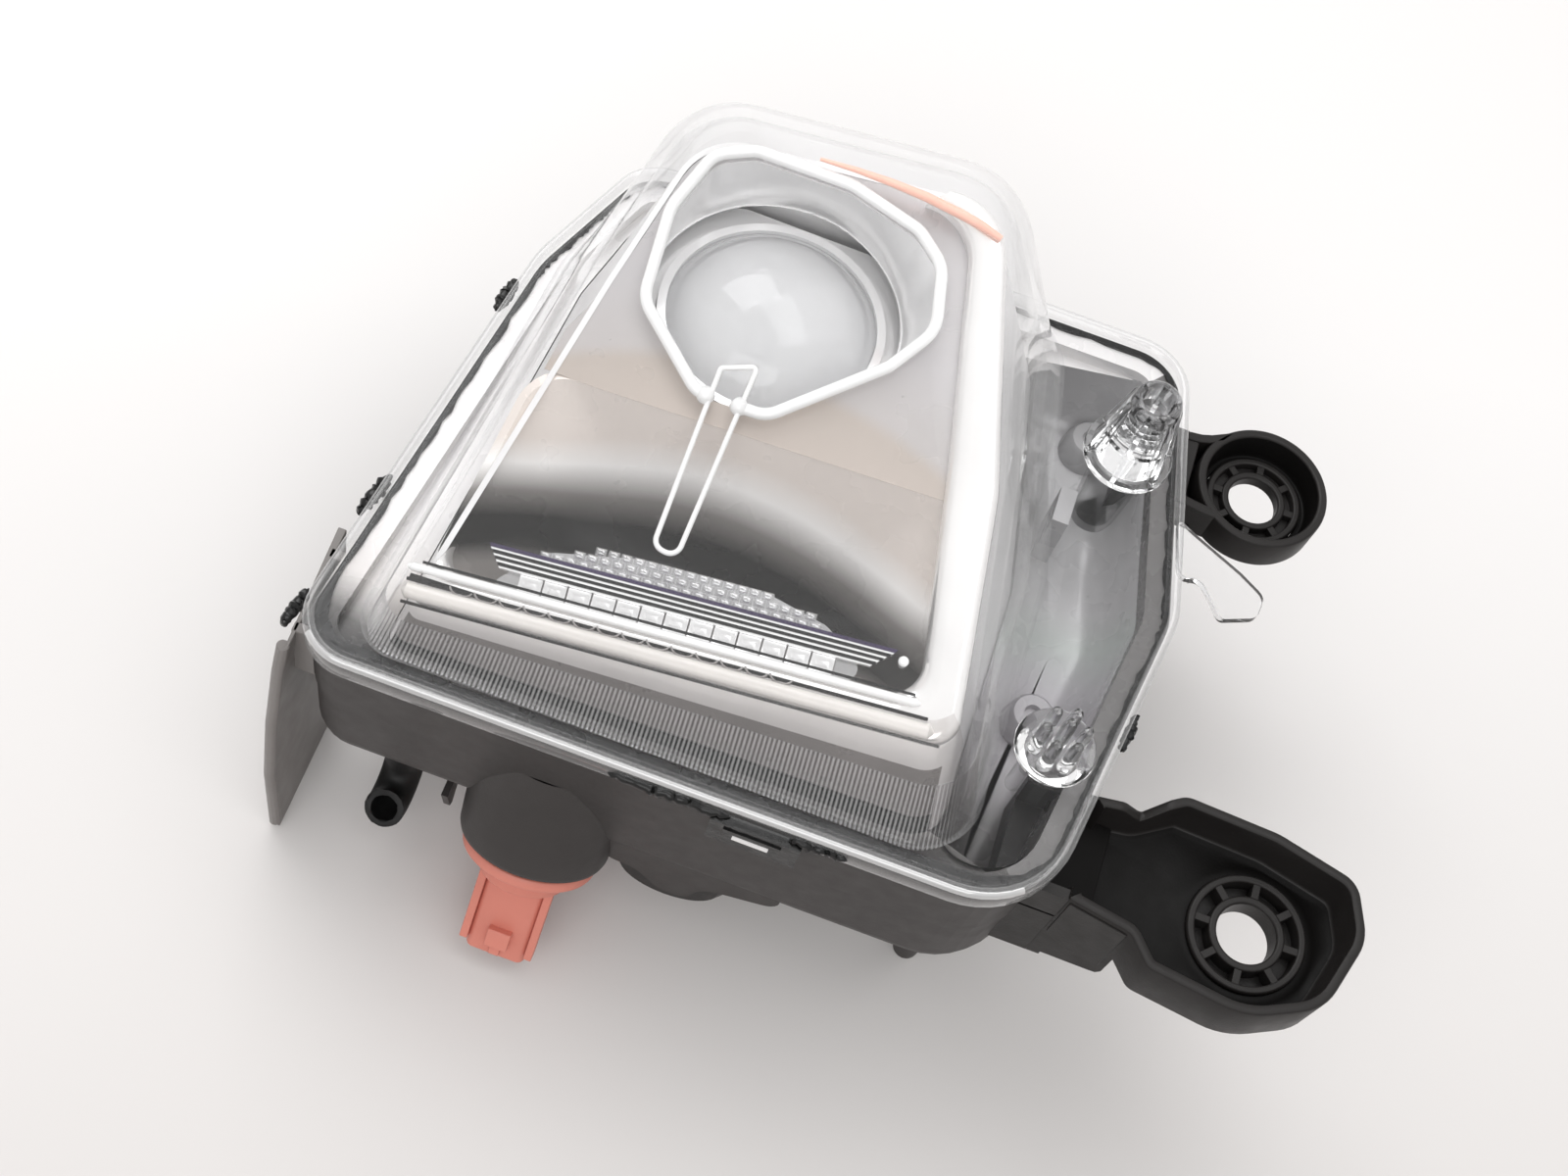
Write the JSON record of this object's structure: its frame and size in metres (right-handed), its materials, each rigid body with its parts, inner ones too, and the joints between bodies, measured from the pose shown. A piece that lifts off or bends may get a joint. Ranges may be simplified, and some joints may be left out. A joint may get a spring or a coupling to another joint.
{
  "type": "car headlight",
  "caption": "Car headlight: clear wedge lens over a metallised bezel, aimable projector and turn-signal reflector, in a dark housing with twist-in socket, rear cover and bushed mount arms.",
  "frame": {"origin": "centre of the lower mount bush, on its clamping face", "axes": "+Z out through the lens along the mount bores, +X right along the front edge towards the mount arms, +Y away from the front edge; the lamp lies on its back"},
  "size_m": [0.2997, 0.2149, 0.1889],
  "materials": {
    "housing_plastic": "fine moulded grain",
    "black_plastic": "semi-gloss moulded",
    "black_rubber": "matte",
    "clear_lens": "clear polycarbonate, polished",
    "clear_optic": "clear, patterned",
    "striped": "clear with dark stripes",
    "guide_white": "milky light guide",
    "metallised": "vacuum-metallised mirror",
    "satin_grey": "satin metallised",
    "amber": "moulded reflex",
    "projector_glass": "clear aspheric",
    "bulb_glass": "quartz with metal base",
    "amber_glass": "amber coated",
    "cast_metal": "die-cast",
    "steel": "zinc plated",
    "brass": "plated",
    "nut_plastic": "natural acetal",
    "coral": "moulded"
  },
  "bodies": {
    "housing": {"housing": "housing_plastic", "sealant": "black_rubber", "rim_clips": "black_plastic", "outer_lens": "clear_lens", "lower_arm": "black_plastic", "lower_bush": "black_plastic", "upper_arm": "black_plastic", "upper_bush": "black_plastic", "arm_screws": "steel", "bezel_frame": "metallised", "bezel_skirt": "satin_grey", "bezel_plate": "metallised", "hex_tunnel": "metallised", "light_guide": "guide_white", "turn_reflector": "metallised", "turn_optic": "clear_optic", "striped_bar": "striped", "trim_bars": "clear_optic", "amber_reflex": "amber", "vent_elbow": "black_rubber", "pivot_brackets": "cast_metal", "main_connector": "black_plastic", "connector_pins": "brass"},
    "carrier": {"carrier_frame": "cast_metal", "bowl_reflector": "metallised", "lens_holder": "cast_metal", "lens_retainer": "steel", "projector_lens": "projector_glass", "main_bulb": "bulb_glass", "shield_drive": "black_plastic"},
    "shield": {"cutoff_shield": "steel"},
    "nut": {"aim_nut": "nut_plastic"},
    "screw": {"aim_screw": "steel"},
    "socket": {"turn_socket": "coral", "turn_seal": "black_rubber", "turn_bulb": "amber_glass", "turn_terminals": "brass"},
    "cover": {"rear_cover": "black_plastic", "cover_seal": "black_rubber"}
  },
  "joints": [
    {"name": "aim_tilt", "type": "hinge", "parent": "housing", "child": "carrier", "pos_m": [-0.1795, 0.053, -0.016], "axis": [1, 0, 0], "range_deg": [-2, 2]},
    {"name": "aim_nut_slide", "type": "slide", "parent": "housing", "child": "nut", "axis": [0, 0, 1], "range_m": [-0.0029, 0.0029]},
    {"name": "aim_screw_spin", "type": "hinge", "parent": "housing", "child": "screw", "pos_m": [-0.1085, 0.133, -0.04], "axis": [0, 0, 1], "range_deg": [-345, 345]},
    {"name": "shield_flip", "type": "hinge", "parent": "carrier", "child": "shield", "pos_m": [-0.1795, 0.0885, 0.01], "axis": [1, 0, 0], "range_deg": [0, 25], "stiffness_Nm_per_rad": 0.004, "springref_deg": -20.05},
    {"name": "turn_twist", "type": "hinge", "parent": "housing", "child": "socket", "pos_m": [-0.193, -0.025, -0.0575], "axis": [0, 0.6004, 0.7997], "range_deg": [0, 60]},
    {"name": "cover_twist", "type": "hinge", "parent": "housing", "child": "cover", "pos_m": [-0.1795, 0.1025, -0.081], "axis": [0, 0, 1], "range_deg": [0, 30]}
  ],
  "couplings": [
    {"joint": "aim_nut_slide", "follows": "aim_tilt", "m_per_rad": 0.08},
    {"joint": "aim_screw_spin", "follows": "aim_tilt", "ratio": -167.55}
  ]
}
